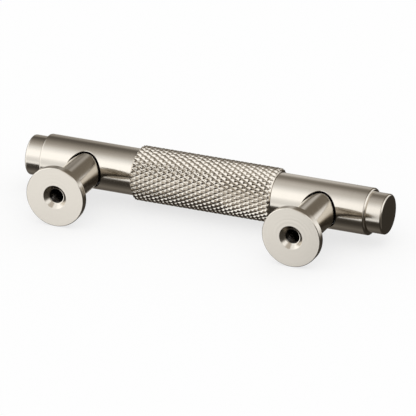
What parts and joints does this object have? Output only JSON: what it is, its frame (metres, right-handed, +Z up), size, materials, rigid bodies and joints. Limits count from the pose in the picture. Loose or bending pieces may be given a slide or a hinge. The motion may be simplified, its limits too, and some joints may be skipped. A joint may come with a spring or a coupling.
{
  "type": "furniture pull handle",
  "caption": "Round bar pull handle with a knurled grip sleeve, stepped end caps and posts with round disc feet tapped for screws from behind.",
  "frame": {"origin": "midpoint between the two tapped mounting holes, on the plane of the mounting faces", "axes": "+X along the bar, +Y out of the mounting faces towards the door or drawer front, +Z up; the bar is on the -Y side"},
  "size_m": [0.0972, 0.0302, 0.0156],
  "materials": {
    "nickel_bar": "satin nickel, turned and finely brushed",
    "nickel_knurl": "satin nickel over diamond knurling",
    "nickel_cap": "satin nickel, turned",
    "nickel_post": "satin nickel, finely brushed round the post, with a fine turned foot face",
    "steel_slug": "plain turned steel",
    "steel_screw": "oiled steel"
  },
  "bodies": {
    "root": {"bar_tube": "nickel_bar", "grip_sleeve": "nickel_knurl", "left_end_cap": "nickel_cap", "right_end_cap": "nickel_cap", "left_post": "nickel_post", "right_post": "nickel_post", "left_anchor": "steel_slug", "right_anchor": "steel_slug", "joining_screws": "steel_screw"}
  },
  "joints": []
}
